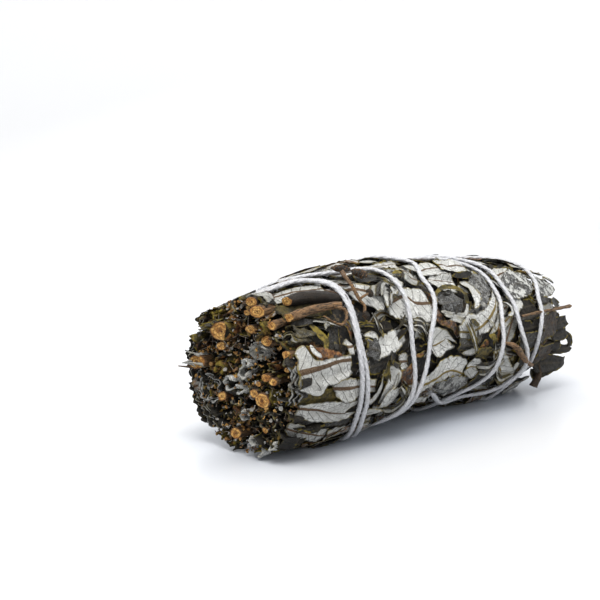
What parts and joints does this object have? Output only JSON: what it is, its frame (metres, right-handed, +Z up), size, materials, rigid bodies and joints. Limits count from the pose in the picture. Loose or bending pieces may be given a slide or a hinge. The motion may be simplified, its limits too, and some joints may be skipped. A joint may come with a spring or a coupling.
{
  "type": "yerba santa smudge stick",
  "caption": "Short roll of dried, pale-backed leaves and woody stems, cut square at the stem end and wound in turns with soft white cotton string.",
  "frame": {"origin": "on the table, under the middle of the object's box", "axes": "+X along the roll, from the cut stems to the leaf tips; +Z up; -Y is the side that the picture shows"},
  "size_m": [0.1064, 0.0432, 0.04],
  "materials": {
    "pale_leaf": "matte",
    "inner_leaf": "matte",
    "dark_leaf": "satin",
    "bark": "matte",
    "cut_wood": "matte",
    "cotton": "matte"
  },
  "bodies": {
    "root": {"sprig_1_leaves": "pale_leaf", "sprig_2_leaves": "pale_leaf", "sprig_3_leaves": "pale_leaf", "sprig_4_leaves": "pale_leaf", "sprig_5_leaves": "pale_leaf", "heart_leaves": "inner_leaf", "dark_leaf_1": "dark_leaf", "dark_leaf_2": "dark_leaf", "dark_leaf_3": "dark_leaf", "dark_leaf_4": "dark_leaf", "dark_leaf_5": "dark_leaf", "dark_leaf_6": "dark_leaf", "dark_leaf_7": "dark_leaf", "dark_leaf_8": "dark_leaf", "dark_leaf_9": "dark_leaf", "hooked_twig": "bark", "dark_twig": "bark", "flower_stalk": "bark", "far_twig": "bark", "bark_strip": "bark", "stem_01": "cut_wood", "stem_02": "cut_wood", "stem_03": "cut_wood", "stem_04": "cut_wood", "stem_05": "cut_wood", "stem_06": "cut_wood", "stem_07": "cut_wood", "stem_08": "cut_wood", "stem_09": "cut_wood", "stem_10": "cut_wood", "stem_11": "cut_wood", "stem_12": "cut_wood", "stem_13": "cut_wood", "stem_14": "cut_wood", "stem_15": "cut_wood", "stem_16": "cut_wood", "stem_17": "cut_wood", "stem_18": "cut_wood", "stem_19": "cut_wood", "stem_20": "cut_wood", "cotton_string": "cotton"}
  },
  "joints": []
}
